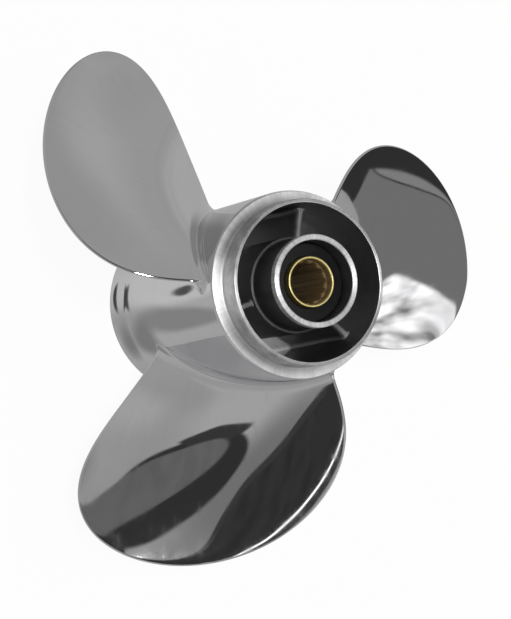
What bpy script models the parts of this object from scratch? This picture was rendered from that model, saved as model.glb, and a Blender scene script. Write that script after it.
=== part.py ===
"""Right-hand three-bladed outboard propeller with a through-hub exhaust.

The shaft axis is Z. The forward end of the hub points to +Z, and the aft rim lies in the plane z = 0.
Blade 1 points along +X. All sizes are in metres.
"""

import math

import bmesh
import bpy

# Blades
DIAMETER = 0.2826
PITCH = 0.3302
BLADE_COUNT = 3
RAKE = math.radians(12.5)
RAKE_CURVE = 0.885
ROOT_CENTRE_DEPTH = 0.0591
CHORD_TERMS = (0.0323, 0.0529, 0.0072, -0.0224)
SKEW_TERMS = (0.304, -0.629, 0.098)
ROOT_THICKNESS = 0.0075
TIP_THICKNESS = 0.0024
THINNING_POWER = 1.2
EDGE_THICKNESS = 0.0014
FORWARD_SHARE = 0.65
ROOT_FILLET = 0.0060
LEADING_FILLET_SHARE = 0.75
TRAILING_FILLET_SHARE = 0.35

# Outer hub
HUB_RADIUS = 0.0450
HUB_LENGTH = 0.1357
SPIGOT_LENGTH = 0.0123
SPIGOT_STEP = 0.0056
SPIGOT_WALL = 0.0018
LAND_STEP = 0.0005
NECK_Z = 0.0140
NECK_DROP = 0.0014
TAPER_START_Z = 0.0700
FLARE_RISE = 0.0027
FLARE_POWER = 1.6
RIM_WALL = 0.0026
NECK_WALL = 0.0025
PASSAGE_TAPER_DEPTH = 0.0357

# Bush and sleeve
SPLINE_COUNT = 13
SPLINE_ROOT_RADIUS = 0.0105
SPLINE_DEPTH = 0.0009
GROOVE_ROOT_SHARE = 0.40
GROOVE_MOUTH_SHARE = 0.60
LEAD_IN_STEP = 0.0002
LEAD_IN_LENGTH = 0.0050
SLEEVE_WALL = 0.00155
SLEEVE_REACH = 0.0016
SLEEVE_AFT_Z = 0.0320
BUSH_THICKNESS = 0.00715
BUSH_RECESS = 0.0020

# Inner tube
NOSE_WALL = 0.0027
NOSE_REACH = 0.0066
TUBE_STEP = 0.0012
TUBE_STEP_DEPTH = 0.0155
TUBE_AFT_Z = 0.0300
SHOULDER_THICKNESS = 0.0050
SHOULDER_CLEARANCE = 0.0032

# Ribs
RIB_ANGLES = (math.radians(63.5), math.radians(183.5), math.radians(304.5))
RIB_THICKNESS = 0.0026
RIB_DEPTH = 0.0175

# Fits and fineness
GAP = 0.0003
BLADE_GAP = 0.0005
CHAMFER = 0.0004
BARREL_STEPS = 72
TUBE_STEPS = 60
TAPER_STEPS = 4
FLARE_STEPS = 5
SECTION_POINTS = 15
SECTION_COUNT = 15
SECTION_CROWDING = 1.8
FILLET_STATIONS = (0.20, 0.45)
SWELL_POWER = 8
TIP_LAND = 0.0002
CAP_STRIPS = 6
MERGE_DISTANCE = 0.00001
SHARP_ANGLE = math.radians(35)

# Sizes that follow from the ones above
TURN = 2 * math.pi
TIP_RADIUS = DIAMETER / 2
SPIGOT_RADIUS = HUB_RADIUS - SPIGOT_STEP
MOUTH_RADIUS = SPIGOT_RADIUS - SPIGOT_WALL
LAND_RADIUS = HUB_RADIUS - LAND_STEP
LAND_Z = HUB_LENGTH - SPIGOT_LENGTH
ROOT_CENTRE_Z = HUB_LENGTH - ROOT_CENTRE_DEPTH
PASSAGE_TAPER_Z = HUB_LENGTH - PASSAGE_TAPER_DEPTH
NECK_PASSAGE_RADIUS = HUB_RADIUS - NECK_DROP - NECK_WALL
RIM_INNER_RADIUS = HUB_RADIUS - NECK_DROP + FLARE_RISE - RIM_WALL
SLEEVE_BORE_RADIUS = SPLINE_ROOT_RADIUS - SPLINE_DEPTH
LEAD_IN_RADIUS = SPLINE_ROOT_RADIUS + LEAD_IN_STEP
SLEEVE_RADIUS = SPLINE_ROOT_RADIUS + SLEEVE_WALL
SLEEVE_FRONT_Z = HUB_LENGTH + SLEEVE_REACH
TUBE_BORE_RADIUS = SLEEVE_RADIUS + BUSH_THICKNESS
NOSE_RADIUS = TUBE_BORE_RADIUS + NOSE_WALL
TUBE_RADIUS = NOSE_RADIUS + TUBE_STEP
SHOULDER_RADIUS = SLEEVE_RADIUS + SHOULDER_CLEARANCE
NOSE_Z = HUB_LENGTH + NOSE_REACH


def clear_scene():
    for item in list(bpy.data.objects):
        bpy.data.objects.remove(item, do_unlink=True)


def make_collection(name):
    collection = bpy.data.collections.new(name)
    bpy.context.scene.collection.children.link(collection)
    return collection


def make_material(name, colour, roughness, metallic):
    material = bpy.data.materials.new(name)
    material.use_nodes = True
    shader = material.node_tree.nodes["Principled BSDF"]
    shader.inputs["Base Color"].default_value = (*colour, 1.0)
    shader.inputs["Roughness"].default_value = roughness
    shader.inputs["Metallic"].default_value = metallic
    return material


def add_object(name, mesh, collection, material=None, parent=None):
    item = bpy.data.objects.new(name, mesh)
    collection.objects.link(item)
    if material and not mesh.materials:
        mesh.materials.append(material)
    if parent:
        item.parent = parent
    return item


def add_turned(name, profile, steps, collection, material=None, parent=None):
    """A closed outline of (radius, height) points, down the outside and up the inside, turned about Z."""
    mesh = bpy.data.meshes.new(name)
    points = [(radius, 0.0, height) for radius, height in profile]
    edges = [(index, (index + 1) % len(points)) for index in range(len(points))]
    mesh.from_pydata(points, edges, [])
    item = add_object(name, mesh, collection, material, parent)
    screw = item.modifiers.new("turn", "SCREW")
    screw.axis = "Z"
    screw.angle = TURN
    screw.steps = steps
    screw.render_steps = steps
    screw.use_smooth_shade = True
    screw.use_merge_vertices = True
    screw.merge_threshold = MERGE_DISTANCE
    return item


def smooth_step(value):
    held = min(max(value, 0.0), 1.0)
    return held * held * (3 - 2 * held)


def barrel_radius(height):
    """Outside of the hub: straight, then easing in to a neck, then out to the aft rim."""
    taper = NECK_DROP * smooth_step((TAPER_START_Z - height) / (TAPER_START_Z - NECK_Z))
    flare = FLARE_RISE * max(0.0, 1 - height / NECK_Z) ** FLARE_POWER
    return HUB_RADIUS - taper + flare


def passage_radius(height):
    """Inside of the hub: straight behind the mouth, then widening to the neck, then out to the rim."""
    if height >= PASSAGE_TAPER_Z:
        return MOUTH_RADIUS
    if height >= NECK_Z:
        along = (PASSAGE_TAPER_Z - height) / (PASSAGE_TAPER_Z - NECK_Z)
        return MOUTH_RADIUS + along * (NECK_PASSAGE_RADIUS - MOUTH_RADIUS)
    return NECK_PASSAGE_RADIUS + (RIM_INNER_RADIUS - NECK_PASSAGE_RADIUS) * (1 - height / NECK_Z)


def barrel_profile():
    outside = [
        (SPIGOT_RADIUS - CHAMFER, HUB_LENGTH),
        (SPIGOT_RADIUS, HUB_LENGTH - CHAMFER),
        (SPIGOT_RADIUS, LAND_Z),
        (LAND_RADIUS - CHAMFER, LAND_Z),
        (LAND_RADIUS, LAND_Z - CHAMFER),
        (HUB_RADIUS, LAND_Z - 3 * CHAMFER),
    ]
    taper_length = TAPER_START_Z - NECK_Z
    body = [TAPER_START_Z - step * taper_length / TAPER_STEPS for step in range(TAPER_STEPS + 1)]
    flare = [NECK_Z * (1 - step / FLARE_STEPS) for step in range(1, FLARE_STEPS)]
    outside += [(barrel_radius(height), height) for height in body + flare]
    outside += [(barrel_radius(0.0), CHAMFER), (barrel_radius(0.0) - CHAMFER, 0.0)]
    inside = [(passage_radius(height), height) for height in (0.0, NECK_Z, PASSAGE_TAPER_Z, HUB_LENGTH)]
    return outside + inside


def tube_profile():
    step_z = HUB_LENGTH - TUBE_STEP_DEPTH
    shoulder_z = TUBE_AFT_Z + SHOULDER_THICKNESS
    return [
        (NOSE_RADIUS - CHAMFER, NOSE_Z),
        (NOSE_RADIUS, NOSE_Z - CHAMFER),
        (NOSE_RADIUS, step_z),
        (TUBE_RADIUS, step_z - CHAMFER),
        (TUBE_RADIUS, TUBE_AFT_Z),
        (SHOULDER_RADIUS, TUBE_AFT_Z),
        (SHOULDER_RADIUS, shoulder_z),
        (TUBE_BORE_RADIUS, shoulder_z),
        (TUBE_BORE_RADIUS, NOSE_Z - CHAMFER),
        (TUBE_BORE_RADIUS + CHAMFER, NOSE_Z),
    ]


def bush_profile():
    outer = TUBE_BORE_RADIUS - GAP
    inner = SLEEVE_RADIUS + GAP
    front = HUB_LENGTH - BUSH_RECESS
    aft = TUBE_AFT_Z + SHOULDER_THICKNESS + GAP
    bead = 2 * CHAMFER
    return [
        (outer - bead, front),
        (outer, front - bead),
        (outer, aft),
        (inner, aft),
        (inner, front - bead),
        (inner + bead, front),
    ]


def sleeve_profile():
    lead_end = SLEEVE_FRONT_Z - LEAD_IN_LENGTH
    return [
        (SLEEVE_RADIUS - CHAMFER, SLEEVE_FRONT_Z),
        (SLEEVE_RADIUS, SLEEVE_FRONT_Z - CHAMFER),
        (SLEEVE_RADIUS, SLEEVE_AFT_Z),
        (SLEEVE_BORE_RADIUS, SLEEVE_AFT_Z),
        (SLEEVE_BORE_RADIUS, lead_end - (LEAD_IN_RADIUS - SLEEVE_BORE_RADIUS)),
        (LEAD_IN_RADIUS, lead_end),
        (LEAD_IN_RADIUS, SLEEVE_FRONT_Z),
    ]


def add_spline_cutter(collection):
    """A prism with one ridge for each groove of the splines; between ridges it stays inside the bore."""
    inner = SLEEVE_BORE_RADIUS - GAP
    spacing = TURN / SPLINE_COUNT
    mouth = GROOVE_MOUTH_SHARE / 2
    root = GROOVE_ROOT_SHARE / 2
    groove = ((-mouth, inner), (-root, SPLINE_ROOT_RADIUS), (root, SPLINE_ROOT_RADIUS), (mouth, inner))
    outline = []
    for index in range(SPLINE_COUNT):
        for share, radius in groove:
            angle = (index + share) * spacing
            outline.append((radius * math.cos(angle), radius * math.sin(angle)))
    low = SLEEVE_AFT_Z - LEAD_IN_LENGTH
    high = SLEEVE_FRONT_Z - LEAD_IN_LENGTH
    model = bmesh.new()
    face = model.faces.new([model.verts.new((x, y, low)) for x, y in outline])
    bmesh.ops.reverse_faces(model, faces=[face])
    grown = bmesh.ops.extrude_face_region(model, geom=[face], use_keep_orig=True)
    moved = [part for part in grown["geom"] if isinstance(part, bmesh.types.BMVert)]
    bmesh.ops.translate(model, verts=moved, vec=(0.0, 0.0, high - low))
    bmesh.ops.recalc_face_normals(model, faces=model.faces)
    mesh = bpy.data.meshes.new("spline_cutter")
    model.to_mesh(mesh)
    model.free()
    cutter = add_object("spline_cutter", mesh, collection)
    cutter.hide_render = True
    cutter.display_type = "WIRE"
    return cutter


def add_sleeve(collection, cutters, material, parent):
    sleeve = add_turned("spline_sleeve", sleeve_profile(), TUBE_STEPS, collection, material, parent)
    cut = sleeve.modifiers.new("splines", "BOOLEAN")
    cut.operation = "DIFFERENCE"
    cut.solver = "EXACT"
    cut.object = add_spline_cutter(cutters)
    return sleeve


def rib_mesh():
    """A flat plate whose inner edge follows the tube and whose outer edge follows the passage wall."""
    front = HUB_LENGTH - RIB_DEPTH
    inner = TUBE_RADIUS + GAP
    heights = (front, PASSAGE_TAPER_Z, TUBE_AFT_Z)
    outline = [(passage_radius(height) - GAP - CHAMFER / 4, height) for height in heights]
    outline += [(inner, TUBE_AFT_Z), (inner, front)]
    mesh = bpy.data.meshes.new("rib")
    points = [(radius, 0.0, height) for radius, height in outline]
    mesh.from_pydata(points, [], [tuple(range(len(points)))])
    return mesh


def add_ribs(collection, material, parent):
    mesh = rib_mesh()
    for index, rib_angle in enumerate(RIB_ANGLES):
        rib = add_object(f"rib_{index + 1}", mesh, collection, material, parent)
        rib.rotation_euler.z = rib_angle
        solid = rib.modifiers.new("thickness", "SOLIDIFY")
        solid.thickness = RIB_THICKNESS
        solid.offset = 0.0


def root_fillet(radius):
    """How far the fillet at the blade's root stands out from the blade at this radius."""
    left = ROOT_FILLET - (radius - HUB_RADIUS)
    if left <= 0:
        return 0.0
    return ROOT_FILLET - math.sqrt(ROOT_FILLET ** 2 - left ** 2)


def blade_section(radius):
    """Half chord, angle of the chord's middle, height of the helix at angle zero, and thickness."""
    span = (radius - HUB_RADIUS) / (TIP_RADIUS - HUB_RADIUS)
    width = sum(term * span ** power for power, term in enumerate(CHORD_TERMS))
    half = width * math.sqrt(1 - span ** 3)
    middle = sum(term * span ** (power + 1) for power, term in enumerate(SKEW_TERMS))
    out = radius - HUB_RADIUS
    base = ROOT_CENTRE_Z - math.tan(RAKE) * out + RAKE_CURVE * out ** 2
    thickness = TIP_THICKNESS + (ROOT_THICKNESS - TIP_THICKNESS) * (1 - span) ** THINNING_POWER
    return half, middle, base, thickness


def blade_row(radius, share):
    """Points across the blade at one radius. Share runs from 1 on the forward face to 0 on the aft face."""
    half, middle, base, thickness = blade_section(radius)
    fillet = root_fillet(radius)
    slope = math.atan(PITCH / (TURN * radius))
    row = []
    for index in range(SECTION_POINTS):
        chord = math.sin(math.pi * (index / (SECTION_POINTS - 1) - 0.5))
        crown = max(thickness - EDGE_THICKNESS, 0.0) * (1 - chord ** 2)
        swell = fillet * math.sqrt(1 - chord ** SWELL_POWER)
        forward = EDGE_THICKNESS / 2 + FORWARD_SHARE * crown + swell
        aft = EDGE_THICKNESS / 2 + (1 - FORWARD_SHARE) * crown + swell
        lift = share * forward - (1 - share) * aft
        edge_share = TRAILING_FILLET_SHARE + (LEADING_FILLET_SHARE - TRAILING_FILLET_SHARE) * (chord + 1) / 2
        angle = middle + chord * (half + edge_share * fillet * math.cos(slope)) / radius
        height = base + PITCH * angle / TURN + lift * math.cos(slope)
        angle -= lift * math.sin(slope) / radius
        row.append((radius * math.cos(angle), radius * math.sin(angle), height))
    return row


def blade_radii():
    """Close together in the root fillet and towards the tip, where the outline turns fast."""
    start = HUB_RADIUS + BLADE_GAP
    body_start = HUB_RADIUS + ROOT_FILLET
    radii = [start] + [HUB_RADIUS + ROOT_FILLET * station for station in FILLET_STATIONS]
    last = TIP_RADIUS - TIP_LAND
    for index in range(SECTION_COUNT):
        left = 1 - index / (SECTION_COUNT - 1)
        radii.append(last - (last - body_start) * left ** SECTION_CROWDING)
    return radii


def blade_mesh():
    """A loft of sections that lie on cylinders round the shaft, closed by a curved cap at the root."""
    model = bmesh.new()
    radii = blade_radii()
    shares = [1 - strip / CAP_STRIPS for strip in range(1, CAP_STRIPS)]

    def place(radius, share):
        return [model.verts.new(point) for point in blade_row(radius, share)]

    def skin(first, second):
        for index in range(SECTION_POINTS - 1):
            model.faces.new((first[index], first[index + 1], second[index + 1], second[index]))

    forward = [place(radius, 1.0) for radius in radii]
    aft = [place(radius, 0.0) for radius in radii]
    root = [forward[0]] + [place(radii[0], share) for share in shares] + [aft[0]]
    for rows in (forward, list(reversed(aft)), list(reversed(root))):
        for first, second in zip(rows, rows[1:]):
            skin(first, second)
    skin(aft[-1], forward[-1])
    for end in (0, -1):
        model.faces.new([row[end] for row in root] + [aft[1][end], forward[1][end]])
        for inner in range(1, len(radii) - 1):
            outer = inner + 1
            model.faces.new((forward[inner][end], aft[inner][end], aft[outer][end], forward[outer][end]))
    bmesh.ops.recalc_face_normals(model, faces=model.faces)
    mesh = bpy.data.meshes.new("blade")
    model.to_mesh(mesh)
    model.free()
    return mesh


def add_blades(collection, material, parent):
    mesh = blade_mesh()
    mesh.shade_smooth()
    mesh.set_sharp_from_angle(angle=SHARP_ANGLE)
    for index in range(BLADE_COUNT):
        blade = add_object(f"blade_{index + 1}", mesh, collection, material, parent)
        blade.rotation_euler.z = index * TURN / BLADE_COUNT


def main():
    clear_scene()
    parts = make_collection("boat_propeller")
    cutters = make_collection("cutters")
    axis = add_object("propeller_axis", None, parts)
    steel = make_material("polished_stainless", (0.60, 0.60, 0.61), 0.10, 1.0)
    machined = make_material("machined_stainless", (0.72, 0.72, 0.72), 0.28, 1.0)
    cast = make_material("cast_stainless", (0.10, 0.10, 0.11), 0.55, 0.6)
    rubber = make_material("black_rubber", (0.02, 0.02, 0.02), 0.75, 0.0)
    brass = make_material("brass", (0.80, 0.62, 0.27), 0.25, 1.0)
    add_turned("hub_barrel", barrel_profile(), BARREL_STEPS, parts, steel, axis)
    add_turned("inner_hub_tube", tube_profile(), TUBE_STEPS, parts, machined, axis)
    add_ribs(parts, cast, axis)
    add_blades(parts, steel, axis)
    add_turned("rubber_bush", bush_profile(), TUBE_STEPS, parts, rubber, axis)
    add_sleeve(parts, cutters, brass, axis)


main()
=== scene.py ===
import math

import bpy
import numpy as np
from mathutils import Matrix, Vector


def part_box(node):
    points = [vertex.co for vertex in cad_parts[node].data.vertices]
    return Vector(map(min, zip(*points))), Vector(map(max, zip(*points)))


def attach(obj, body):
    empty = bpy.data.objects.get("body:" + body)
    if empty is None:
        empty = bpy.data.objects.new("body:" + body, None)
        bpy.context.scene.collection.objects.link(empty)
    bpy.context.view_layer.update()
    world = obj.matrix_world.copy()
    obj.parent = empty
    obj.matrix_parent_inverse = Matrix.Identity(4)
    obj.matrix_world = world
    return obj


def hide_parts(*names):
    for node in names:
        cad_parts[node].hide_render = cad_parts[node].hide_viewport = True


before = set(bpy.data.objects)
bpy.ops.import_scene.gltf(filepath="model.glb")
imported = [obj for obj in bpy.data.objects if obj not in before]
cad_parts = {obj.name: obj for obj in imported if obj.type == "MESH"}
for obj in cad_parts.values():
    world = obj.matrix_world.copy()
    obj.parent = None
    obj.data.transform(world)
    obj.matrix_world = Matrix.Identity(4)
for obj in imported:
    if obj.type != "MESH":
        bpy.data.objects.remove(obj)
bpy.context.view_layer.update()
print("frame loaded")

turn = 2 * math.pi

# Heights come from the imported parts, so every piece sits where the frame says.
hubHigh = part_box("hub_barrel")[1]
tubeLow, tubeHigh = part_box("inner_hub_tube")
bushLow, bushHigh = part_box("rubber_bush")
sleeveLow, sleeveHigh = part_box("spline_sleeve")
ribLow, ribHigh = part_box("rib_1")

hub = {
    "radius": 0.0450,
    "spigotStep": 0.0056,
    "spigotWall": 0.0018,
    "lipRound": 0.0006,
    "spigotLength": 0.0123,
    "spigotRootRound": 0.0008,
    "landStep": 0.0005,
    "landEdgeRound": 0.0004,
    "landBevel": 0.0016,
    "bevelRound": 0.0010,
    "neckZ": 0.0140,
    "neckDrop": 0.0014,
    "taperStartZ": 0.0700,
    "flareRise": 0.0027,
    "flarePower": 1.6,
    "flareEndZ": 0.0008,
    "rimWall": 0.0026,
    "rimOuterRound": 0.0006,
    "rimInnerRound": 0.0005,
    "neckWall": 0.0025,
    "passageTaperDepth": 0.0357,
    "passageRound": 0.010,
    "mouthRound": 0.0003,
    "taperRows": 30,
    "flareRows": 16,
    "steps": 288,
}


def smoothStep(value):
    # 3t^2 - 2t^3 on t held between 0 and 1
    held = np.clip(value, 0.0, 1.0)
    return held * held * (3 - 2 * held)


def gridFaces(rows, columns, closeRows, closeColumns):
    # Quads of a grid whose point (i, j) is number i * columns + j;
    # a closed side joins its last to its first.
    i = np.arange(rows if closeRows else rows - 1)
    j = np.arange(columns if closeColumns else columns - 1)
    i, j = (part.ravel() for part in np.meshgrid(i, j, indexing="ij"))
    nextI = (i + 1) % rows
    nextJ = (j + 1) % columns
    corners = [i * columns + j, nextI * columns + j, nextI * columns + nextJ, i * columns + nextJ]
    return np.stack(corners, 1)


def makeMesh(name, points, quads, triangles=None, marks=None, finishes=None):
    # marks holds one number per point under each name, for the materials to read;
    # finishes holds one material number per face
    mesh = bpy.data.meshes.new(name)
    points = np.asarray(points, dtype=np.float32).reshape(-1, 3)
    corners = [np.asarray(quads, dtype=np.int32).ravel()]
    sizes = [np.full(len(quads), 4)]
    if triangles is not None:
        corners.append(np.asarray(triangles, dtype=np.int32).ravel())
        sizes.append(np.full(len(triangles), 3))
    corners = np.concatenate(corners)
    sizes = np.concatenate(sizes)
    starts = np.concatenate([[0], np.cumsum(sizes)[:-1]]).astype(np.int32)
    mesh.vertices.add(len(points))
    mesh.vertices.foreach_set("co", points.ravel())
    mesh.loops.add(len(corners))
    mesh.loops.foreach_set("vertex_index", corners)
    mesh.polygons.add(len(sizes))
    mesh.polygons.foreach_set("loop_start", starts)
    mesh.update(calc_edges=True)
    for markName, values in (marks or {}).items():
        mark = mesh.attributes.new(markName, "FLOAT", "POINT")
        mark.data.foreach_set("value", np.asarray(values, dtype=np.float32).ravel())
    if finishes is not None:
        mesh.polygons.foreach_set("material_index", np.asarray(finishes, dtype=np.int32))
    mesh.validate()
    mesh.shade_smooth()
    return mesh


def addPiece(name, mesh, body, materials, replaced):
    piece = bpy.data.objects.new(name, mesh)
    bpy.context.scene.collection.objects.link(piece)
    for material in materials:
        mesh.materials.append(material)
    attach(piece, body)
    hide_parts(*replaced)


def roundedOutline(corners, fineness=7, support=0.00006):
    # A closed outline of (radius, height, round) corners. Each corner is an arc tangent to both its sides,
    # with a support point just before and after it, so that the flat sides stay flat when shaded smooth.
    # Each point also gets its corner's number plus its place round the arc, from 0 before it to 0.9 after it.
    count = len(corners)
    outline = []
    places = []
    for index in range(count):
        here = np.array(corners[index][:2])
        back = np.array(corners[index - 1][:2]) - here
        ahead = np.array(corners[(index + 1) % count][:2]) - here
        reachBack = np.linalg.norm(back)
        reachAhead = np.linalg.norm(ahead)
        back /= reachBack
        ahead /= reachAhead
        size = corners[index][2]
        opening = math.acos(np.clip(np.dot(back, ahead), -1, 1))
        if size <= 0 or opening > math.radians(179):
            outline.append(here)
            places.append(index)
            continue
        reach = min(size / math.tan(opening / 2), 0.48 * reachBack, 0.48 * reachAhead)
        size = reach * math.tan(opening / 2)
        middle = back + ahead
        centre = here + middle / np.linalg.norm(middle) * size / math.sin(opening / 2)
        start = here + back * reach - centre
        end = here + ahead * reach - centre
        sweep = math.pi - opening
        outline.append(here + back * (reach + support))
        places += [index + place for place in np.linspace(0, 0.9, fineness + 3)]
        for step in range(fineness + 1):
            share = step / fineness
            mix = (math.sin((1 - share) * sweep) * start + math.sin(share * sweep) * end) / math.sin(sweep)
            outline.append(centre + mix)
        outline.append(here + ahead * (reach + support))
    return np.array(outline), np.array(places)


def between(places, first, last):
    # 1 where the outline's place lies from first to last, counted along the corners
    return ((places >= first) & (places <= last)).astype(float)


def turnedMesh(name, outline, steps, marks=None, zones=None):
    # (r, z) carried round the shaft axis: (r cos a, r sin a, z);
    # zones gives each outline point's material number
    angle = np.arange(steps) * turn / steps
    marks = {markName: np.repeat(values[:, None], steps, 1) for markName, values in (marks or {}).items()}
    radius = outline[:, 0][:, None]
    points = np.stack([
        radius * np.cos(angle), radius * np.sin(angle), np.repeat(outline[:, 1][:, None], steps, 1)
    ], 2)
    finishes = None if zones is None else np.repeat(zones, steps)
    return makeMesh(name, points, gridFaces(len(outline), steps, True, True), marks=marks, finishes=finishes)


def hubRadius(height):
    # straight, then easing in to a neck by a smooth step, then out to the rim by a power of the depth
    # below the neck
    taper = hub["neckDrop"] * smoothStep((hub["taperStartZ"] - height) / (hub["taperStartZ"] - hub["neckZ"]))
    flare = hub["flareRise"] * np.maximum(0.0, 1 - height / hub["neckZ"]) ** hub["flarePower"]
    return hub["radius"] - taper + flare


def hubMesh(name):
    high = hubHigh[2]
    landZ = high - hub["spigotLength"]
    spigot = hub["radius"] - hub["spigotStep"]
    mouth = spigot - hub["spigotWall"]
    land = hub["radius"] - hub["landStep"]
    rim = float(hubRadius(np.array(0.0)))
    neckInside = hub["radius"] - hub["neckDrop"] - hub["neckWall"]
    corners = [
        (spigot, high, hub["lipRound"]),
        (spigot, landZ, hub["spigotRootRound"]),
        (land, landZ, hub["landEdgeRound"]),
        (hub["radius"], landZ - hub["landBevel"], hub["bevelRound"]),
    ]
    taper = np.linspace(hub["taperStartZ"], hub["neckZ"], hub["taperRows"])
    flare = np.linspace(hub["neckZ"], hub["flareEndZ"], hub["flareRows"])
    corners += [(float(hubRadius(z)), float(z), 0.0) for z in np.concatenate([taper, flare[1:]])]
    corners += [
        (rim, 0.0, hub["rimOuterRound"]),
        (rim - hub["rimWall"], 0.0, hub["rimInnerRound"]),
        (neckInside, hub["neckZ"], hub["passageRound"]),
        (mouth, high - hub["passageTaperDepth"], hub["passageRound"]),
        (mouth, high, hub["mouthRound"]),
    ]
    outline, places = roundedOutline(corners)
    count = len(corners)
    # 0 polished, 1 turned, 2 as cast
    turned = between(places, 0, 2.85) + between(places, count - 0.95, count)
    zones = turned + 2 * between(places, count - 3.2, count - 0.96)
    # the spigot's root is a groove, painted darker as shade, and its side is painted a darker, blotchy grey
    # as shade and reflection; the lip's inner edge takes both
    lip = between(places, count - 0.15, count)
    marks = {"groove": between(places, 1.0, 1.95) + lip, "side": between(places, 0.0, 1.02) + lip}
    return turnedMesh(name, outline, hub["steps"], marks, zones)


tube = {
    "bore": 0.0192,
    "noseWall": 0.0027,
    "noseRound": 0.0005,
    "step": 0.0012,
    "stepDepth": 0.0155,
    "shoulderThickness": 0.0050,
    "shoulderRadius": 0.01525,
    "turnedDepth": 0.0034,
    "turnedStep": 0.0001,
    "easyRound": 0.0006,  # most corners
    "sharpRound": 0.0004,  # the step and the shoulder's bore
    "steps": 216,
}


def tubeMesh(name):
    high = tubeHigh[2]
    low = tubeLow[2]
    stepZ = hubHigh[2] - tube["stepDepth"]
    nose = tube["bore"] + tube["noseWall"]
    neck = nose - tube["turnedStep"]
    body = nose + tube["step"]
    turnedZ = high - tube["turnedDepth"]
    shoulderZ = low + tube["shoulderThickness"]
    easy = tube["easyRound"]
    sharp = tube["sharpRound"]
    outline, places = roundedOutline([
        (nose, high, tube["noseRound"]),
        (nose, turnedZ, 0.0),
        (neck, turnedZ - sharp, 0.0),
        (neck, stepZ, easy),
        (body, stepZ - sharp, sharp),
        (body, low, easy),
        (tube["shoulderRadius"], low, sharp),
        (tube["shoulderRadius"], shoulderZ, sharp),
        (tube["bore"], shoulderZ, easy),
        (tube["bore"], high, easy),
    ])
    # 0 as cast, 1 turned
    zones = between(places, 0, 1.5) + between(places, 9.1, 10)
    return turnedMesh(name, outline, tube["steps"], {"step": between(places, 3.3, 4.9)}, zones)


bush = {
    "gap": 0.0001,
    "bead": 0.0008,
    "beadRound": 0.0010,
    "edgeRound": 0.0006,
    "dish": 0.0006,
    "dishRound": 0.004,
    "steps": 180,
}


def bushMesh(name):
    outer = tube["bore"] - bush["gap"]
    inner = sleeve["radius"] + bush["gap"]
    high = bushHigh[2]
    low = bushLow[2]
    middle = (outer + inner) / 2
    outline, places = roundedOutline([
        (outer, high - bush["bead"], bush["beadRound"]),
        (outer, low, bush["edgeRound"]),
        (inner, low, bush["edgeRound"]),
        (inner, high, bush["edgeRound"]),
        (middle, high - bush["dish"], bush["dishRound"]),
    ])
    return turnedMesh(name, outline, bush["steps"])


sleeve = {
    "radius": 0.01205,
    "splineRoot": 0.0105,
    "splineDepth": 0.0009,
    "splineSteepness": 2.6,
    "splineRunOut": 0.0009,
    "leadInStep": 0.0002,
    "leadInLength": 0.0050,
    "edge": 0.0004,
    "edgeSupport": 0.0002,
    "edgeBevel": 0.0001,
    "boreEdge": 0.0003,
    "mouthDepth": 0.0008,
    "mouthWidth": 0.00045,
    "splines": 13,
    "steps": 26 * 16,
}


def sleeveMesh(name):
    # Rings carried down the outside and back up the bore. In the bore the radius is the tooth form:
    # root minus depth times a steep smooth wave of the angle, which stops short of the lead-in.
    high = sleeveHigh[2]
    low = sleeveLow[2]
    angle = np.arange(sleeve["steps"]) * turn / sleeve["steps"]
    wave = smoothStep(0.5 - sleeve["splineSteepness"] * np.cos(angle * sleeve["splines"]))
    outer = sleeve["radius"]
    root = sleeve["splineRoot"]
    lead = root + sleeve["leadInStep"]
    leadEnd = high - sleeve["leadInLength"]
    runOut = leadEnd - sleeve["splineRunOut"]
    mouthZ = high - sleeve["mouthDepth"]
    edge = sleeve["edge"]
    held = edge + sleeve["edgeSupport"]
    bevel = sleeve["edgeBevel"]
    boreEdge = sleeve["boreEdge"]
    # radius without teeth, height, share of the tooth, and 1 in the bore
    rings = np.array([
        (outer - edge, high, 0, 0), (outer - bevel, high - bevel, 0, 0),
        (outer, high - edge, 0, 0), (outer, high - held, 0, 0),
        (outer, low + held, 0, 0), (outer, low + edge, 0, 0),
        (outer - edge, low, 0, 0), (outer - held, low, 0, 0), (root + boreEdge, low, 0, 0),
        (root + bevel, low + bevel, 0.1, 1), (root, low + held, 1, 1),
        (root, runOut - bevel, 1, 1), (root, runOut, 1, 1), (root, leadEnd, 0.05, 1),
        (lead, leadEnd + bevel, 0, 1), (lead, leadEnd + boreEdge, 0, 1),
        (lead, mouthZ - bevel, 0, 1), (lead, mouthZ, 0, 1),
        (lead + edge, high - bevel * 0.4, 0, 0), (lead + sleeve["mouthWidth"], high, 0, 0),
    ])
    ringRadius, height, share, bore = (np.repeat(column[:, None], len(angle), 1) for column in rings.T)
    radius = ringRadius - sleeve["splineDepth"] * share * wave
    points = np.stack([radius * np.cos(angle), radius * np.sin(angle), height], 2)
    return makeMesh(name, points, gridFaces(len(rings), len(angle), True, True), marks={"bore": bore})


ribs = {
    "thickness": 0.0026,
    "angles": (63.5, 183.5, 304.5),  # degrees, as cast: not quite evenly spaced
    "tubeFillet": 0.0015,
    "wallFillet": 0.0028,
    "sunk": 0.0003,
    "across": 40,
    "noseRows": 10,
    "noseStart": 0.08,
    "down": 30,
}


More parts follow.
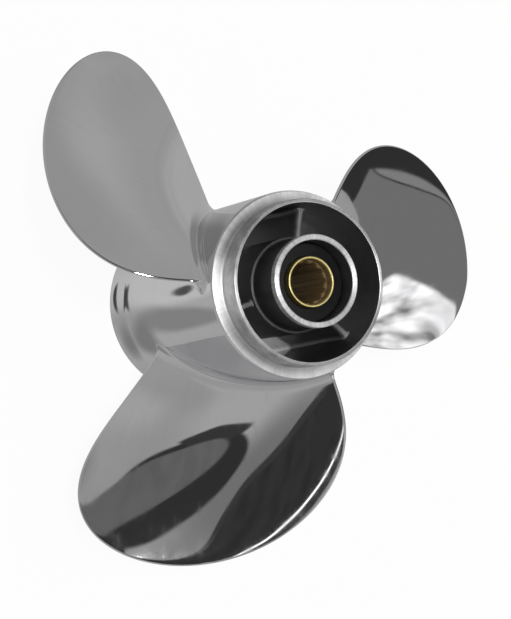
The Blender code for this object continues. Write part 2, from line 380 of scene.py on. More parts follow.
def ribMesh(name, turnAngle):
    # Half thickness over the radius: t/2 plus a fillet towards the tube and one towards the hub wall,
    # f - sqrt(f^2 - (f - x)^2) at the distance x; carried down the hub, and rounded off at the front.
    high = ribHigh[2]
    low = ribLow[2]
    inner = tube["bore"] + tube["noseWall"] + tube["step"] - ribs["sunk"]
    wall = hub["radius"] - hub["spigotStep"] - hub["spigotWall"]
    neckInside = hub["radius"] - hub["neckDrop"] - hub["neckWall"]
    startTaper = hubHigh[2] - hub["passageTaperDepth"]
    noseRound = ribs["thickness"] / 2
    noseArc = np.linspace(ribs["noseStart"], math.pi / 2, ribs["noseRows"])
    downRows = np.linspace(noseRound, high - low, ribs["down"])[1:]
    depth = np.concatenate([noseRound * (1 - np.cos(noseArc)), downRows])
    height = high - depth
    along = np.clip((startTaper - height) / (startTaper - hub["neckZ"]), 0, 1)
    outer = wall + along * (neckInside - wall) + ribs["sunk"]
    share = (1 - np.cos(np.linspace(0, math.pi, ribs["across"]))) / 2
    radius = inner + share[None, :] * (outer - inner)[:, None]
    fillet = 0
    for size, gap in ((ribs["tubeFillet"], radius - inner), (ribs["wallFillet"], outer[:, None] - radius)):
        fillet = fillet + size - np.sqrt(size ** 2 - np.clip(size - gap, 0, None) ** 2)
    noseShare = np.sqrt(1 - (1 - np.clip(depth / noseRound, 0, 1)) ** 2)[:, None]
    half = (ribs["thickness"] / 2 + fillet) * noseShare
    ring = np.concatenate([radius, radius[:, ::-1]], 1)
    side = np.concatenate([half, -half[:, ::-1]], 1)
    z = np.repeat(height[:, None], ring.shape[1], 1)
    points = np.stack([
        ring * math.cos(turnAngle) - side * math.sin(turnAngle),
        ring * math.sin(turnAngle) + side * math.cos(turnAngle),
        z
    ], 2)
    rows, columns = ring.shape
    faces = gridFaces(rows, columns, False, True)
    pair = np.arange(ribs["across"] - 1)
    caps = []
    for row, flip in ((0, False), (rows - 1, True)):
        start = row * columns
        end = start + columns - 1
        cap = np.stack([start + pair, start + pair + 1, end - 1 - pair, end - pair], 1)
        caps.append(cap[:, ::-1] if flip else cap)
    front = np.repeat((depth <= noseRound * 1.01).astype(float)[:, None], columns, 1)
    return makeMesh(name, points, np.concatenate([faces] + caps), marks={"front": front})


blade = {
    "tipRadius": 0.1413,
    "pitch": 0.3302,
    "rake": math.radians(12.5),
    "rakeCurve": 0.885,
    "rootCentreDepth": 0.0591,
    "chord": (0.0323, 0.0529, 0.0072, -0.0224),
    "skew": (0.304, -0.629, 0.098),
    "rootThickness": 0.0075,
    "tipThickness": 0.0024,
    "thinningPower": 1.2,
    "edgeThickness": 0.0014,
    "edgeRound": 0.0008,
    "forwardShare": 0.65,
    "fillet": 0.0060,
    "leadingFillet": 0.75,
    "trailingFillet": 0.35,
    "sunk": 0.0010,
    "across": 110,
    "filletRows": 12,
    "rows": 130,
    "rowSpacing": 1.9,
}


def polynomial(terms, value):
    return sum(term * value ** power for power, term in enumerate(terms))


def bladeMesh(name, turnAngle):
    # The blade is a helix of constant pitch with rake, z = z0 + pitch a / 2 pi - tan(rake) h + curve h^2.
    # Half chord = sqrt(1 - s^3) times a cubic in the span s; the chord's middle swings by another cubic.
    # Thickness = edge + crown (1 - c^2), rounded off within edgeRound of the outline, whose distance is
    # F / |grad F| with F = half chord^2 - x^2. Near the root the section grows by the fillet's offset.
    span0 = blade["tipRadius"] - hub["radius"]
    arc = np.linspace(0, math.pi / 2, blade["filletRows"])
    filletHeight = blade["fillet"] * (1 - np.cos(arc))
    filletOut = blade["fillet"] * (1 - np.sin(arc))
    left = np.linspace(1, 0, blade["rows"])[1:]
    outHeight = span0 - (span0 - blade["fillet"]) * left ** blade["rowSpacing"]
    height = np.concatenate([[-blade["sunk"]], filletHeight, outHeight[:-1]])
    swell = np.concatenate([[blade["fillet"]], filletOut, np.zeros(len(outHeight) - 1)])[:, None]
    radius = (hub["radius"] + height)[:, None]
    span = np.clip(height, 0, None)[:, None] / span0
    width = polynomial(blade["chord"], span)
    widthSlope = sum(power * term * span ** (power - 1) for power, term in enumerate(blade["chord"]) if power)
    half = width * np.sqrt(1 - span ** 3)
    middle = span * polynomial(blade["skew"], span)
    middleSlope = sum((power + 1) * term * span ** power for power, term in enumerate(blade["skew"]))
    across = np.sin(np.linspace(math.pi / 2, -math.pi / 2, blade["across"]))[None, :]
    slope = np.arctan(blade["pitch"] / (turn * radius))
    # distance to the outline
    field = half ** 2 * (1 - across ** 2)
    fieldRadial = (2 * width * widthSlope * (1 - span ** 3) - 3 * width ** 2 * span ** 2) / span0
    fieldRadial = fieldRadial + 2 * across * half * (middleSlope / span0 * radius)
    distance = field / np.sqrt(fieldRadial ** 2 + (2 * across * half * np.cos(slope)) ** 2 + 1e-12)
    rounding = np.sqrt(1 - (1 - np.clip(distance / blade["edgeRound"], 0, 1)) ** 2)
    thinning = (1 - span) ** blade["thinningPower"]
    thickness = blade["tipThickness"] + (blade["rootThickness"] - blade["tipThickness"]) * thinning
    crown = (thickness - blade["edgeThickness"]) * (1 - across ** 2)
    forward = (blade["edgeThickness"] / 2 + blade["forwardShare"] * crown) * rounding
    aft = -(blade["edgeThickness"] / 2 + (1 - blade["forwardShare"]) * crown) * rounding
    along = across * half / np.cos(slope)
    # one ring round each section, out along the forward side and back along the aft side
    along = np.broadcast_to(along, forward.shape)
    ringAlong = np.concatenate([along, along[:, -2:0:-1]], 1)
    ringLift = np.concatenate([forward, aft[:, -2:0:-1]], 1)
    tangentAlong = np.roll(ringAlong, -1, 1) - np.roll(ringAlong, 1, 1)
    tangentLift = np.roll(ringLift, -1, 1) - np.roll(ringLift, 1, 1)
    size = np.hypot(tangentAlong, tangentLift) + 1e-12
    share = np.clip(ringAlong / (half / np.cos(slope)), -1, 1)
    edgeShare = blade["trailingFillet"] + (blade["leadingFillet"] - blade["trailingFillet"]) * (share + 1) / 2
    ringAlong = ringAlong + swell * edgeShare * tangentLift / size
    ringLift = ringLift - swell * tangentAlong / size
    angle = middle + (ringAlong * np.cos(slope) - ringLift * np.sin(slope)) / radius
    baseZ = hubHigh[2] - blade["rootCentreDepth"] - math.tan(blade["rake"]) * (radius - hub["radius"])
    baseZ = baseZ + blade["rakeCurve"] * (radius - hub["radius"]) ** 2
    z = baseZ + blade["pitch"] / turn * middle + ringAlong * np.sin(slope) + ringLift * np.cos(slope)
    # the root follows the hub where the hub narrows
    placedRadius = radius - (hub["radius"] - hubRadius(z)) * (1 - span) ** 2
    angle = angle + turnAngle
    points = np.stack([placedRadius * np.cos(angle), placedRadius * np.sin(angle), z], 2)
    rows, columns = ringAlong.shape
    tip = points[-1].mean(0)
    allPoints = np.concatenate([points.reshape(-1, 3), tip[None, :]])
    faces = gridFaces(rows, columns, False, True)
    pair = np.arange(1, blade["across"] - 2)
    cap = np.stack([pair, pair + 1, columns - pair - 1, columns - pair], 1)
    last = (rows - 1) * columns
    ends = np.array([[0, 1, columns - 1], [blade["across"] - 2, blade["across"] - 1, blade["across"]]])
    around = np.arange(columns)
    fan = np.stack([last + around, np.full(columns, rows * columns), last + (around + 1) % columns], 1)
    return makeMesh(name, allPoints, np.concatenate([faces, cap]), np.concatenate([ends, fan]))


def addNode(tree, kind, **values):
    node = tree.nodes.new(kind)
    for key, value in values.items():
        setattr(node, key, value)
    return node


def feed(tree, socket, value):
    # a number or colour is set on the socket, anything else is linked to it
    if isinstance(value, bpy.types.NodeSocket):
        tree.links.new(value, socket)
    else:
        socket.default_value = value


def calculate(tree, operation, *terms, clamp=False):
    node = addNode(tree, "ShaderNodeMath", operation=operation, use_clamp=clamp)
    for socket, term in zip(node.inputs, terms):
        feed(tree, socket, term)
    return node.outputs[0]


def rescale(tree, value, low, high, toLow, toHigh, smooth=False):
    # value from low..high to toLow..toHigh, held at the ends
    node = addNode(tree, "ShaderNodeMapRange", clamp=True)
    if smooth:
        node.interpolation_type = "SMOOTHSTEP"
    for socket, term in zip(node.inputs[:5], (value, low, high, toLow, toHigh)):
        feed(tree, socket, term)
    return node.outputs[0]


def mixColours(tree, share, first, second):
    node = addNode(tree, "ShaderNodeMix", data_type="RGBA")
    feed(tree, node.inputs[0], share)
    for socket, colour in ((node.inputs[6], first), (node.inputs[7], second)):
        feed(tree, socket, colour if isinstance(colour, bpy.types.NodeSocket) else (*colour, 1))
    return node.outputs[2]


def mixValues(tree, share, first, second):
    node = addNode(tree, "ShaderNodeMix", data_type="FLOAT")
    for socket, term in ((node.inputs[0], share), (node.inputs[2], first), (node.inputs[3], second)):
        feed(tree, socket, term)
    return node.outputs[0]


def noise(tree, vector, scale, detail=3.0, roughness=0.5):
    node = addNode(tree, "ShaderNodeTexNoise")
    for name, term in (("Vector", vector), ("Scale", scale), ("Detail", detail), ("Roughness", roughness)):
        feed(tree, node.inputs[name], term)
    return node.outputs[0]


def startGroup(name, inputs, outputs):
    # inputs are (name, socket type, default); outputs are (name, socket type)
    tree = bpy.data.node_groups.new(name, "ShaderNodeTree")
    for title, kind, default in inputs:
        socket = tree.interface.new_socket(title, in_out="INPUT", socket_type=kind)
        if default is not None:
            socket.default_value = default
    for title, kind in outputs:
        tree.interface.new_socket(title, in_out="OUTPUT", socket_type=kind)
    return tree, addNode(tree, "NodeGroupInput"), addNode(tree, "NodeGroupOutput")


def placeGroup(tree, group, **values):
    node = addNode(tree, "ShaderNodeGroup", node_tree=group)
    for name, value in values.items():
        feed(tree, node.inputs[name], value)
    return node


def split(tree, vector):
    node = addNode(tree, "ShaderNodeSeparateXYZ")
    feed(tree, node.inputs[0], vector)
    return node.outputs


def join(tree, *terms):
    node = addNode(tree, "ShaderNodeCombineXYZ")
    for socket, term in zip(node.inputs, terms):
        feed(tree, socket, term)
    return node.outputs[0]


def axisDistance(tree, x, y):
    # distance from the axis, sqrt(x^2 + y^2)
    squares = [calculate(tree, "MULTIPLY", term, term) for term in (x, y)]
    return calculate(tree, "SQRT", calculate(tree, "ADD", *squares))


def makeTurnedMarks():
    # Fine rings: noise of the distance from the axis and the height only.
    # Streaks: noise of the direction round the axis, (x, y) / r, with a little of the distance; the turned
    # finishes paint streaks of highlight with it.
    tree, given, result = startGroup(
        "turnedMarks",
        [
            ("Vector", "NodeSocketVector", None),
            ("Rings", "NodeSocketFloat", 2500.0),
            ("Streaks", "NodeSocketFloat", 30.0),
        ],
        [("Rings", "NodeSocketFloat"), ("Streaks", "NodeSocketFloat")],
    )
    x, y, z = split(tree, given.outputs["Vector"])
    distance = calculate(tree, "MAXIMUM", axisDistance(tree, x, y), 0.0001)
    rings = join(tree, distance, z)
    streaks = join(
        tree, calculate(tree, "DIVIDE", x, distance), calculate(tree, "DIVIDE", y, distance),
        calculate(tree, "MULTIPLY", distance, 1.5)
    )
    for title, vector in (("Rings", rings), ("Streaks", streaks)):
        feed(tree, result.inputs[title], noise(tree, vector, given.outputs[title], 2.0, 0.6))
    return tree


def makeSurfaceWander():
    # Slow swelling left by hand polishing, and blotches at another scale, both plain noise of the place
    tree, given, result = startGroup(
        "surfaceWander",
        [
            ("Vector", "NodeSocketVector", None),
            ("Swell", "NodeSocketFloat", 20.0),
            ("Blotches", "NodeSocketFloat", 60.0),
        ],
        [("Swell", "NodeSocketFloat"), ("Blotches", "NodeSocketFloat")],
    )
    for title, detail, roughness in (("Swell", 1.0, 0.4), ("Blotches", 4.0, 0.6)):
        texture = noise(tree, given.outputs["Vector"], given.outputs[title], detail, roughness)
        feed(tree, result.inputs[title], texture)
    return tree


def makePolishLines():
    # Hair lines: noise of the place squeezed along one direction, thinned to the tops of the noise
    tree, given, result = startGroup(
        "polishLines",
        [
            ("Vector", "NodeSocketVector", None),
            ("Fineness", "NodeSocketFloat", 900.0),
            ("Stretch", "NodeSocketVector", (1.0, 1.0, 0.03)),
        ],
        [("Lines", "NodeSocketFloat")],
    )
    squeezed = addNode(tree, "ShaderNodeVectorMath", operation="MULTIPLY")
    feed(tree, squeezed.inputs[0], given.outputs["Vector"])
    feed(tree, squeezed.inputs[1], given.outputs["Stretch"])
    lines = noise(tree, squeezed.outputs[0], given.outputs["Fineness"], 3.0, 0.6)
    feed(tree, result.inputs["Lines"], rescale(tree, lines, 0.45, 0.75, 0.0, 1.0))
    return tree


def makeRoughCasting():
    # Sand-cast skin: two sizes of noise added for the height, and the larger one again for patches of colour
    tree, given, result = startGroup(
        "roughCasting",
        [
            ("Vector", "NodeSocketVector", None),
            ("Grain", "NodeSocketFloat", 1800.0),
            ("Patches", "NodeSocketFloat", 120.0),
        ],
        [("Height", "NodeSocketFloat"), ("Patches", "NodeSocketFloat")],
    )
    grain = noise(tree, given.outputs["Vector"], given.outputs["Grain"], 3.0, 0.6)
    patches = noise(tree, given.outputs["Vector"], given.outputs["Patches"], 4.0, 0.6)
    feed(tree, result.inputs["Height"], calculate(tree, "ADD", grain, patches))
    feed(tree, result.inputs["Patches"], patches)
    return tree


turnedMarks = makeTurnedMarks()
surfaceWander = makeSurfaceWander()
polishLines = makePolishLines()
roughCasting = makeRoughCasting()


def startMaterial(name):
    material = bpy.data.materials.new(name)
    material.use_nodes = True
    tree = material.node_tree
    place = addNode(tree, "ShaderNodeTexCoord").outputs["Object"]
    return material, tree, tree.nodes["Principled BSDF"], place


def readMark(tree, name):
    return addNode(tree, "ShaderNodeAttribute", attribute_name=name).outputs["Fac"]


def addBump(tree, shader, height, depth):
    bump = addNode(tree, "ShaderNodeBump")
    bump.inputs["Strength"].default_value = 1.0
    bump.inputs["Distance"].default_value = depth
    feed(tree, bump.inputs["Height"], height)
    feed(tree, shader.inputs["Normal"], bump.outputs[0])


finish = {
    "polished": (0.74, 0.74, 0.75),
    "dark": (0.030, 0.030, 0.032),
    "darkPatch": (0.052, 0.052, 0.055),
    "polishedRoughness": 0.025,
    "scratchRoughness": 0.05,
    "turnedRoughness": 0.42,
    "roughnessSpread": 0.06,
    "swellDepth": 0.00030,
    "ringDepth": 0.000002,
    "castDepth": 0.00010,
    "rubberDepth": 0.00005,
    "brassDepth": 0.00001,
    # height below which the casting is painted paler as painted light, and the height over which that fades
    "litBandBelow": 0.056,
    "litBandFade": 0.004,
}


def polishedSteel(name, swell, blotches, fineness, squeeze, worn, dulling, spread):
    # mirror polish with a slow swell, faint blotches in its gloss and worn hair lines
    material, tree, shader, place = startMaterial(name)
    wander = placeGroup(tree, surfaceWander, Vector=place, Swell=swell, Blotches=blotches)
    stretch = (squeeze, squeeze, 1.0)
    lines = placeGroup(tree, polishLines, Vector=place, Fineness=fineness, Stretch=stretch).outputs[0]
    wear = rescale(tree, wander.outputs["Blotches"], 0.4, 0.7, 0.0, 1.0)
    wear = calculate(tree, "MULTIPLY", lines, wear)
    feed(tree, shader.inputs["Base Color"], mixColours(tree, wear, finish["polished"], worn))
    low = finish["polishedRoughness"] + dulling
    rough = rescale(tree, wander.outputs["Blotches"], 0.3, 0.7, low, low + spread)
    scratched = calculate(tree, "MULTIPLY", wear, finish["scratchRoughness"])
    feed(tree, shader.inputs["Roughness"], calculate(tree, "ADD", rough, scratched))
    shader.inputs["Metallic"].default_value = 1.0
    addBump(tree, shader, wander.outputs["Swell"], finish["swellDepth"])
    return material


def turnedSteel(name, streakCount, low, high):
    # lathe-turned steel: fine rings in the height, painted streaks of highlight across them,
    # painted darker down the side as shade and reflection, and painted shade in a groove
    material, tree, shader, place = startMaterial(name)
    marks = placeGroup(tree, turnedMarks, Vector=place, Rings=1800.0, Streaks=streakCount)
    wander = placeGroup(tree, surfaceWander, Vector=place, Swell=40.0, Blotches=120.0)
    # painted highlight: the colour brightens in streaks round the axis, in place of the radial streaks of
    # light on a turned face
    streaks = rescale(tree, marks.outputs["Streaks"], 0.3, 0.7, 0.0, 1.0)
    colour = mixColours(tree, streaks, low, high)
    # painted shade and reflection: the side is painted a darker, blotchy grey
    side = rescale(tree, wander.outputs["Blotches"], 0.35, 0.65, 0.30, 0.62)
    paintedSideShade = addNode(tree, "ShaderNodeCombineColor")
    for socket in paintedSideShade.inputs:
        feed(tree, socket, side)
    colour = mixColours(tree, readMark(tree, "side"), colour, paintedSideShade.outputs[0])
    # painted shade: the groove at the spigot's root and the lip's inner edge are painted darker
    groove = calculate(tree, "MULTIPLY", readMark(tree, "groove"), 0.6)
    colour = mixColours(tree, groove, colour, (0.34, 0.34, 0.34))
    feed(tree, shader.inputs["Base Color"], colour)
    shader.inputs["Metallic"].default_value = 1.0
    rough = [finish["turnedRoughness"] + sign * finish["roughnessSpread"] for sign in (-1, 1)]
    feed(tree, shader.inputs["Roughness"], rescale(tree, wander.outputs["Blotches"], 0.3, 0.7, *rough))
    shader.inputs["Anisotropic"].default_value = 0.8
    shader.inputs["Anisotropic Rotation"].default_value = 0.25
    tangent = addNode(tree, "ShaderNodeTangent", direction_type="RADIAL", axis="Z")
    feed(tree, shader.inputs["Tangent"], tangent.outputs[0])
    addBump(tree, shader, marks.outputs["Rings"], finish["ringDepth"])
    return material


def darkCasting(name, grain):
    # near-black paint with a satin skin on the casting, patches a shade lighter, lighter at a front
    # edge or a step; towards the aft end it turns to a paler, half-metallic band, painted light for the light
    # coming in through the aft opening
    material, tree, shader, place = startMaterial(name)
    casting = placeGroup(tree, roughCasting, Vector=place, Grain=grain, Patches=100.0)
    patches = rescale(tree, casting.outputs["Patches"], 0.4, 0.65, 0.0, 1.0)
    dark = mixColours(tree, patches, finish["dark"], finish["darkPatch"])
    # a lighter line at the tube's step
    step = calculate(tree, "MULTIPLY", readMark(tree, "step"), 0.22)
    dark = mixColours(tree, step, dark, (0.16, 0.16, 0.16))
    # a lighter grey on the ribs' rounded front edges
    lighterFront = mixColours(tree, patches, (0.15, 0.15, 0.15), (0.30, 0.30, 0.30))
    dark = mixColours(tree, readMark(tree, "front"), dark, lighterFront)
    # painted light: a paler, half-metallic band towards the aft end, with a ragged edge, for the light that
    # comes in through the aft opening
    raggedness = calculate(tree, "MULTIPLY", patches, finish["litBandFade"])
    height = calculate(tree, "ADD", split(tree, place)[2], raggedness)
    litBand = rescale(tree, height, finish["litBandBelow"], finish["litBandBelow"] + finish["litBandFade"], 1.0, 0.0)
    litBandColour = mixColours(tree, patches, (0.60, 0.60, 0.60), (0.80, 0.80, 0.80))
    feed(tree, shader.inputs["Base Color"], mixColours(tree, litBand, dark, litBandColour))
    feed(tree, shader.inputs["Metallic"], calculate(tree, "MULTIPLY", litBand, 0.5))
    feed(tree, shader.inputs["Roughness"], rescale(tree, casting.outputs["Patches"], 0.3, 0.7, 0.40, 0.52))
    addBump(tree, shader, casting.outputs["Height"], finish["castDepth"])
    return material


def mouldedRubber():
    # black rubber with a fine moulded skin and a faint bloom
    material, tree, shader, place = startMaterial("mouldedRubber")
    wander = placeGroup(tree, surfaceWander, Vector=place, Swell=120.0, Blotches=260.0)
    marks = placeGroup(tree, turnedMarks, Vector=place, Rings=1100.0, Streaks=12.0)
    bloom = rescale(tree, wander.outputs["Blotches"], 0.45, 0.75, 0.0, 1.0)
    colour = mixColours(tree, bloom, (0.003, 0.003, 0.004), (0.008, 0.008, 0.010))
    feed(tree, shader.inputs["Base Color"], colour)
    feed(tree, shader.inputs["Roughness"], rescale(tree, wander.outputs["Blotches"], 0.3, 0.7, 0.52, 0.66))
    shader.inputs["Metallic"].default_value = 0.0
    shader.inputs["Specular IOR Level"].default_value = 0.3
    skin = calculate(tree, "ADD", marks.outputs["Rings"], wander.outputs["Blotches"])
    addBump(tree, shader, skin, finish["rubberDepth"])
    return material


def turnedBrass():
    # bright turned end, oiled and brown down the bore, both with painted streaks of highlight round the axis
    material, tree, shader, place = startMaterial("turnedBrass")
    bore = readMark(tree, "bore")
    marks = placeGroup(tree, turnedMarks, Vector=place, Rings=3000.0, Streaks=16.0)
    wander = placeGroup(tree, surfaceWander, Vector=place, Swell=60.0, Blotches=180.0)
    # painted highlight: the colour brightens in streaks round the axis
    streaks = rescale(tree, marks.outputs["Streaks"], 0.3, 0.7, 0.0, 1.0)
    bright = mixColours(tree, streaks, (0.74, 0.60, 0.22), (0.88, 0.76, 0.36))
    oiled = mixColours(tree, streaks, (0.17, 0.110, 0.046), (0.30, 0.205, 0.090))
    feed(tree, shader.inputs["Base Color"], mixColours(tree, bore, bright, oiled))
    feed(tree, shader.inputs["Metallic"], mixValues(tree, bore, 1.0, 0.1))
    brightRough = rescale(tree, wander.outputs["Blotches"], 0.3, 0.7, 0.34, 0.42)
    feed(tree, shader.inputs["Roughness"], mixValues(tree, bore, brightRough, 0.6))
    addBump(tree, shader, marks.outputs["Rings"], finish["brassDepth"])
    return material


bladeFinish = polishedSteel(
    "polishedBlade", swell=22.0, blotches=90.0, fineness=700.0, squeeze=0.05,
    worn=(0.70, 0.70, 0.71), dulling=0.0, spread=0.03
)
hubFinish = polishedSteel(
    "polishedHub", swell=30.0, blotches=110.0, fineness=800.0, squeeze=0.06,
    worn=(0.69, 0.69, 0.70), dulling=0.015, spread=0.035
)
castFinish = darkCasting("darkCasting", 1500.0)
spigotFinish = turnedSteel("turnedSpigot", 26.0, (0.78, 0.78, 0.78), (0.96, 0.96, 0.96))
noseFinish = turnedSteel("turnedNose", 20.0, (0.58, 0.58, 0.58), (0.82, 0.82, 0.82))
print("finishes made")

addPiece("hubSkin", hubMesh("hubSkin"), "propeller", [hubFinish, spigotFinish, castFinish],
         ["hub_barrel"])
addPiece("tubeSkin", tubeMesh("tubeSkin"), "propeller", [castFinish, noseFinish],
         ["inner_hub_tube"])
addPiece("bushSkin", bushMesh("bushSkin"), "bush", [mouldedRubber()], ["rubber_bush"])
addPiece("sleeveSkin", sleeveMesh("sleeveSkin"), "shaft_sleeve", [turnedBrass()], ["spline_sleeve"])
for index in range(3):
    rib = ribMesh("ribSkin", math.radians(ribs["angles"][index]))
    addPiece(f"ribSkin_{index + 1}", rib, "propeller", [castFinish], [f"rib_{index + 1}"])
    bladeShape = bladeMesh("bladeSkin", index * turn / 3)
    addPiece(f"bladeSkin_{index + 1}", bladeShape, "propeller", [bladeFinish],
             [f"blade_{index + 1}"])
print("pieces made")

view = {"place": (0.16426, -0.38016, 0.89737), "turn": (5.0568, -26.2732, 100.9339), "lens": 107.912}


def addCamera():
    data = bpy.data.cameras.new("camera")
    data.lens = view["lens"]
    data.clip_end = 50
    camera = bpy.data.objects.new("camera", data)
    camera.location = view["place"]
    camera.rotation_euler = [math.radians(angle) for angle in view["turn"]]
    bpy.context.scene.collection.objects.link(camera)
    bpy.context.scene.camera = camera


def card(compass, down, long, wide, turn, corner, soft, glow, folds=0.0):
    # A card as seen from the middle of the table, in degrees: the compass direction of its middle and the
    # angle from straight up, its half length and half width, and the turn of its length. Then the power of
    # its corners (2 is an oval), how soft its edge is, its brightness, and how much of that its folds take.
    return {
        "x": compass, "y": down, "long": long, "wide": wide, "turn": turn,
        "corner": corner, "soft": soft, "glow": glow, "folds": folds,
    }


def shade(x, y, long, wide, turn, soft, glow):
    # an oval patch of shade or light on the table, in centimetres from the hub's axis
    return card(x, y, long, wide, turn, 2, soft, glow)


# The studio is a pale tent with soft cards in it, over a table of pale paper. The later cards lie over the
# earlier ones.
studio = {
    "tent": (0.37, 0.46),  # darkest and brightest
    "tentScale": 1.7,
    "horizon": 0.40,
    "horizonEnd": 0.35,  # the sine of the height where the tent's own brightness is reached
    "foldAcross": (0.10, 0.06),  # fineness of the folds over the compass and down
    "foldLean": 1.4,
    "foldAlong": 0.03,
    "foldScale": 1.6,
    "floorRadius": 0.8,
    "floorInnerRing": 0.32,
    "floorSteps": 96,
    "floorSeen": 0.945,  # brightness seen straight on, then as the metal mirrors it
    "floorMirrored": (0.36, 0.43),
    "floorScale": 5.0,
    "floorFar": 0.345,
    "floorFade": (20.0, 60.0),  # centimetres from the hub's axis over which it goes to floorFar
    "cards": [
        # a soft grey fall-off over the lower blade, and a dark wall for the left one
        card(-46, 38, 34, 13, turn=27, corner=2, soft=0.6, glow=0.21),
        card(-158, 34, 34, 16, turn=0, corner=3, soft=0.2, glow=0.07),
        # overhead light and another to the far side; then a narrow lamp on the near side for the turned
        # steel, with dark cards round it to keep the light off the left blade's edge
        card(0, 0, 400, 12, turn=0, corner=8, soft=0.15, glow=2.2),
        card(112, 22, 34, 12, turn=0, corner=4, soft=0.2, glow=1.6),
        card(-88, 4, 80, 7, turn=0, corner=6, soft=0.1, glow=0.08),
        card(-84, 14.1, 33, 3.0, turn=0, corner=6, soft=0.1, glow=54.0),
        card(180, 10, 42, 12, turn=0, corner=4, soft=0.1, glow=0.08),
        card(-8, 12, 16, 14, turn=0, corner=4, soft=0.1, glow=0.08),
        # beside the right blade: a grey wall with a paler leaf on it, a dark wall beyond,
        # and a creased white sheet
        card(68, 75, 36, 26, turn=0, corner=8, soft=0.03, glow=0.20),
        card(94.5, 75.4, 11, 2.9, turn=63.4, corner=2, soft=0.05, glow=0.05),
        card(94.6, 75.4, 10.4, 2.5, turn=63.4, corner=2, soft=0.05, glow=0.27),
        card(106.5, 79.6, 26, 9, turn=64.4, corner=6, soft=0.05, glow=0.035),
        card(101.4, 93.2, 7.5, 4, turn=107.7, corner=6, soft=0.08, glow=0.035),
        card(52.6, 65, 18, 14, turn=76.6, corner=5, soft=0.05, glow=1.4, folds=0.84),
        # over the lower blade: a dark tongue edged with a bright and a dark line
        card(-28.5, 34.4, 30, 14.5, turn=33.4, corner=3, soft=0.02, glow=0.05),
        card(-28.8, 33.9, 27.5, 11.3, turn=33.4, corner=3, soft=0.02, glow=2.6),
        card(-29.2, 34.3, 27.6, 11.3, turn=33.4, corner=3, soft=0.02, glow=0.042, folds=0.3),
        card(-15, 47, 9, 6, turn=60, corner=3, soft=0.04, glow=0.038),
        # and a dark hook with a lighter leaf in it
        card(-84, 36.5, 29, 13, turn=18, corner=2, soft=0.04, glow=0.035),
        card(-75, 50.6, 17.5, 3.6, turn=7.5, corner=1.5, soft=0.10, glow=0.045),
        card(-91.5, 37, 26, 7.6, turn=22, corner=2, soft=0.05, glow=0.155, folds=0.15),
    ],
    # seen only in the metal
    "shades": [
        shade(0.3, -8.5, 4.5, 2.4, turn=-80, soft=0.3, glow=0.58),
        shade(0.7, -4.94, 0.9, 0.09, turn=5, soft=0.3, glow=0.04),
        shade(1.2, -8.5, 0.7, 0.5, turn=30, soft=0.3, glow=0.05),
        shade(4.6, -6.8, 3.2, 1.5, turn=-40, soft=0.35, glow=0.24),
        shade(3.8, -3.9, 1.7, 0.5, turn=42, soft=0.5, glow=0.20),
        shade(-33.0, -19.0, 26.0, 12.0, turn=45, soft=0.2, glow=0.22),
        # light under the hub, for the inside of its aft end
        shade(0.0, 0.0, 4.3, 4.3, turn=0, soft=0.1, glow=0.75),
    ],
}


def makeCardMask():
    # u and v are the place (x, y) along and across the card over its half length and half width;
    # the mask is 1 where |u|^p + |v|^p is under 1, easing off over the edge
    titles = ("X", "Y", "Middle X", "Middle Y", "Long", "Wide", "Turn", "Corner", "Soft")
    tree, given, result = startGroup(
        "cardMask",
        [(title, "NodeSocketFloat", 0.0) for title in titles],
        [("Mask", "NodeSocketFloat")],
    )
    get = given.outputs
    x = calculate(tree, "WRAP", calculate(tree, "SUBTRACT", get["X"], get["Middle X"]), 180.0, -180.0)
    y = calculate(tree, "SUBTRACT", get["Y"], get["Middle Y"])
    cosine = calculate(tree, "COSINE", get["Turn"])
    sine = calculate(tree, "SINE", get["Turn"])
    xCosine, yCosine = (calculate(tree, "MULTIPLY", term, cosine) for term in (x, y))
    xSine, ySine = (calculate(tree, "MULTIPLY", term, sine) for term in (x, y))
    u = calculate(tree, "DIVIDE", calculate(tree, "ADD", xCosine, ySine), get["Long"])
    v = calculate(tree, "DIVIDE", calculate(tree, "SUBTRACT", yCosine, xSine), get["Wide"])
    u, v = (calculate(tree, "POWER", calculate(tree, "ABSOLUTE", term), get["Corner"]) for term in (u, v))
    root = calculate(tree, "DIVIDE", 1.0, get["Corner"])
    edge = calculate(tree, "POWER", calculate(tree, "ADD", u, v), root)
    low = calculate(tree, "SUBTRACT", 1.0, get["Soft"])
    high = calculate(tree, "ADD", 1.0, get["Soft"])
    feed(tree, result.inputs["Mask"], rescale(tree, edge, low, high, 1.0, 0.0, smooth=True))
    return tree


def placeMask(tree, x, y, patch):
    return placeGroup(tree, cardMask, **{
        "X": x, "Y": y, "Middle X": patch["x"], "Middle Y": patch["y"],
        "Long": patch["long"], "Wide": patch["wide"], "Turn": math.radians(patch["turn"]),
        "Corner": patch["corner"], "Soft": patch["soft"],
    }).outputs[0]


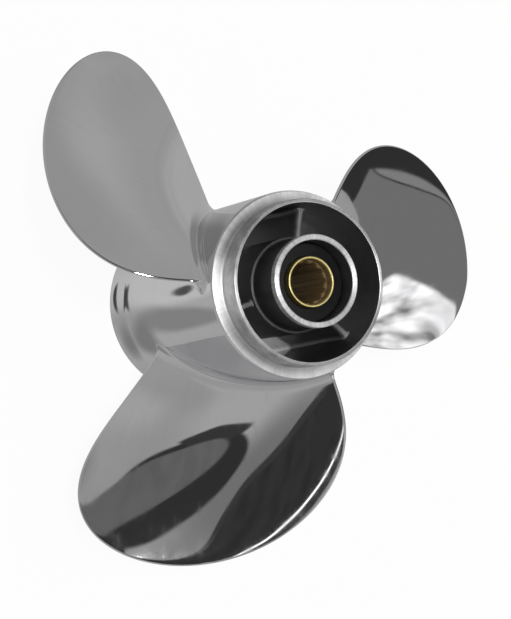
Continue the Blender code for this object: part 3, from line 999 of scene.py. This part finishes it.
def addStudio():
    world = bpy.data.worlds.new("studio")
    bpy.context.scene.world = world
    world.use_nodes = True
    tree = world.node_tree
    direction = addNode(tree, "ShaderNodeTexCoord").outputs["Generated"]
    x, y, z = split(tree, direction)
    compass = calculate(tree, "DEGREES", calculate(tree, "ARCTAN2", y, x))
    down = calculate(tree, "DEGREES", calculate(tree, "ARCCOSINE", z))
    texture = noise(tree, direction, studio["tentScale"], 1.0, 0.4)
    glow = rescale(tree, texture, 0.38, 0.62, *studio["tent"], smooth=True)
    raised = rescale(tree, z, 0.0, studio["horizonEnd"], 0.0, 1.0, smooth=True)
    glow = mixValues(tree, raised, studio["horizon"], glow)
    # folds: noise drawn out along lines that lean across the compass
    acrossSizes = zip((compass, down), studio["foldAcross"])
    across = [calculate(tree, "MULTIPLY", term, size) for term, size in acrossSizes]
    along = calculate(tree, "SUBTRACT", compass, calculate(tree, "MULTIPLY", down, studio["foldLean"]))
    along = calculate(tree, "MULTIPLY", along, studio["foldAlong"])
    folds = noise(tree, join(tree, calculate(tree, "ADD", *across), along), studio["foldScale"], 2.0, 0.5)
    folds = rescale(tree, folds, 0.32, 0.58, 0.0, 1.0)
    for patch in studio["cards"]:
        patchGlow = patch["glow"]
        if patch["folds"]:
            patchGlow = rescale(tree, folds, 0.0, 1.0, patchGlow * (1 - patch["folds"]), patchGlow)
        glow = mixValues(tree, placeMask(tree, compass, down, patch), glow, patchGlow)
    # the tent's wall itself is plain white
    glow = mixValues(tree, addNode(tree, "ShaderNodeLightPath").outputs["Is Camera Ray"], glow, 1.0)
    feed(tree, tree.nodes["Background"].inputs["Color"], (1, 1, 1, 1))
    feed(tree, tree.nodes["Background"].inputs["Strength"], glow)


def addFloor():
    # a round sheet of paper, as one ring of quads closed by a fan: (r cos a, r sin a)
    steps = studio["floorSteps"]
    around = np.arange(steps)
    angle = around * turn / steps
    rings = np.array([studio["floorInnerRing"], studio["floorRadius"]])[:, None, None]
    points = rings * np.stack([np.cos(angle), np.sin(angle), 0 * angle], 1)[None]
    fan = np.stack([around, (around + 1) % steps, np.full(steps, 2 * steps)], 1)
    quads = gridFaces(2, steps, False, True)
    mesh = makeMesh("floor", np.concatenate([points.reshape(-1, 3), np.zeros((1, 3))]), quads, fan)
    floor = bpy.data.objects.new("floor", mesh)
    bpy.context.scene.collection.objects.link(floor)
    material, tree, shader, place = startMaterial("paper")
    # seen straight on it is plain lit paper; in the metal it is a softer grey with the shades on it
    x, y = (calculate(tree, "MULTIPLY", term, 100.0) for term in split(tree, place)[:2])
    texture = noise(tree, place, studio["floorScale"], 1.0, 0.5)
    glow = rescale(tree, texture, 0.35, 0.65, *studio["floorMirrored"])
    far = rescale(tree, axisDistance(tree, x, y), *studio["floorFade"], 0.0, 1.0, smooth=True)
    glow = mixValues(tree, far, glow, studio["floorFar"])
    for patch in studio["shades"]:
        glow = mixValues(tree, placeMask(tree, x, y, patch), glow, patch["glow"])
    seen = addNode(tree, "ShaderNodeLightPath").outputs["Is Camera Ray"]
    shader.inputs["Base Color"].default_value = (0.05, 0.05, 0.05, 1)
    shader.inputs["Roughness"].default_value = 0.9
    shader.inputs["Specular IOR Level"].default_value = 0.0
    shader.inputs["Emission Color"].default_value = (1, 1, 1, 1)
    feed(tree, shader.inputs["Emission Strength"], mixValues(tree, seen, glow, studio["floorSeen"]))
    mesh.materials.append(material)


cardMask = makeCardMask()
addCamera()
addFloor()
addStudio()
bpy.context.scene.view_settings.view_transform = "Standard"
print("studio lit")
